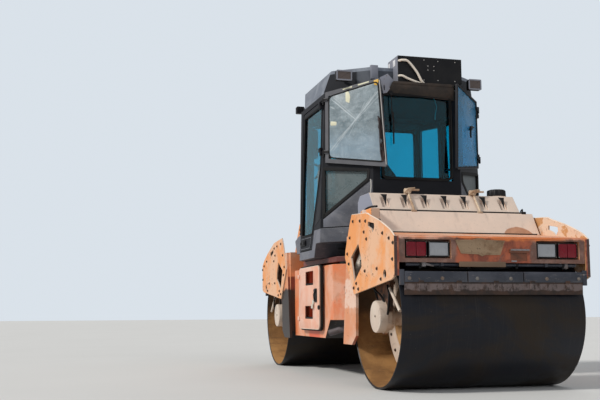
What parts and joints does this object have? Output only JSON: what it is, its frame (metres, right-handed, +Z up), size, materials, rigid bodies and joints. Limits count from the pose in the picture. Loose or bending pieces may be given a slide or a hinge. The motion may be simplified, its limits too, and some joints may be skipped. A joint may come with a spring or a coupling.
{
  "type": "tandem road roller",
  "caption": "Articulated tandem road roller with two wide smooth steel drums, bolted side plates, a water tank over the rear drum and a glazed cab on a central box.",
  "frame": {"origin": "on the ground below the middle of the machine, centre of the bounding box in plan", "axes": "+X forward along the machine, +Y to its left side, +Z up"},
  "size_m": [4.498, 1.652, 2.9649],
  "materials": {
    "orange_paint": "faded gloss, rusty at the edges",
    "beige_plastic": "dusty satin",
    "drum_steel": "worn by rolling",
    "dark_frame": "satin",
    "grey_panel": "dusty satin",
    "bare_steel": "rusty",
    "primer_red": "dull",
    "black_plastic": "dull",
    "tail_lens": "clear red lens",
    "lamp_lens": "clear ribbed lens",
    "tinted_glass": "blue-green tint, dusty",
    "rubber": "dull",
    "seat_fabric": "woven"
  },
  "bodies": {
    "front_frame": {"centre_box": "orange_paint", "front_yoke": "orange_paint", "front_side_plates": "orange_paint", "front_hub_arms": "bare_steel", "front_scraper": "bare_steel", "front_lamps": "lamp_lens", "engine": "bare_steel", "exhaust_pipe": "bare_steel", "cab_mounts": "rubber", "cab_base": "primer_red", "cab_body": "grey_panel", "cab_frame": "dark_frame", "cab_roof": "grey_panel", "roof_shelf": "bare_steel", "ac_box": "black_plastic", "work_lamps": "black_plastic", "cab_glass": "tinted_glass", "seat": "seat_fabric", "seat_base": "black_plastic", "console": "black_plastic", "front_pivot": "orange_paint"},
    "rear_frame": {"rear_yoke": "orange_paint", "rear_side_plates": "orange_paint", "rear_hub_arms": "bare_steel", "rear_scraper": "bare_steel", "rear_lamps": "tail_lens", "water_tank": "beige_plastic", "tank_cover": "beige_plastic", "tank_clamps": "bare_steel", "rear_pivot": "orange_paint"},
    "front_roller": {"front_drum": "drum_steel"},
    "rear_roller": {"rear_drum": "drum_steel"},
    "hood": {"engine_hood": "orange_paint"},
    "filler_cap": {"tank_cap": "black_plastic"},
    "left_door": {"door_left": "dark_frame", "door_glass_left": "tinted_glass"},
    "right_door": {"door_right": "dark_frame", "door_glass_right": "tinted_glass"},
    "left_vent": {"vent_left": "dark_frame", "vent_glass_left": "tinted_glass"},
    "right_vent": {"vent_right": "dark_frame", "vent_glass_right": "tinted_glass"},
    "left_step": {"step_cover_left": "orange_paint"},
    "right_step": {"step_cover_right": "orange_paint"}
  },
  "joints": [
    {"name": "steer", "type": "hinge", "parent": "front_frame", "child": "rear_frame", "pos_m": [-0.7, 0, 0.76], "axis": [0, 0, 1], "range_deg": [-32, 32]},
    {"name": "front_roll", "type": "hinge", "parent": "front_frame", "child": "front_roller", "pos_m": [1.68, 0, 0.56], "axis": [0, 1, 0], "continuous": true},
    {"name": "rear_roll", "type": "hinge", "parent": "rear_frame", "child": "rear_roller", "pos_m": [-1.68, 0, 0.56], "axis": [0, 1, 0], "continuous": true},
    {"name": "hood_tilt", "type": "hinge", "parent": "front_frame", "child": "hood", "pos_m": [1.566, 0, 1.252], "axis": [0, 1, 0], "range_deg": [0, 55]},
    {"name": "cap_turn", "type": "hinge", "parent": "rear_frame", "child": "filler_cap", "pos_m": [-1.2, -0.56, 1.6], "axis": [0, 0, 1], "range_deg": [0, 90]},
    {"name": "left_door_swing", "type": "hinge", "parent": "front_frame", "child": "left_door", "pos_m": [-0.352, 0.814, 2.2], "axis": [0, 0, 1], "range_deg": [0, 90]},
    {"name": "right_door_swing", "type": "hinge", "parent": "front_frame", "child": "right_door", "pos_m": [-0.352, -0.814, 2.2], "axis": [0, 0, 1], "range_deg": [-90, 0]},
    {"name": "left_vent_swing", "type": "hinge", "parent": "front_frame", "child": "left_vent", "pos_m": [-0.4053, 0.7984, 2.3], "axis": [0, 0, 1], "range_deg": [-65, 0]},
    {"name": "right_vent_swing", "type": "hinge", "parent": "front_frame", "child": "right_vent", "pos_m": [-0.4053, -0.7984, 2.3], "axis": [0, 0, 1], "range_deg": [0, 65]},
    {"name": "left_step_swing", "type": "hinge", "parent": "front_frame", "child": "left_step", "pos_m": [0.632, 0.766, 0.73], "axis": [0, 0, 1], "range_deg": [-95, 0]},
    {"name": "right_step_swing", "type": "hinge", "parent": "front_frame", "child": "right_step", "pos_m": [0.632, -0.766, 0.73], "axis": [0, 0, 1], "range_deg": [0, 95]}
  ]
}
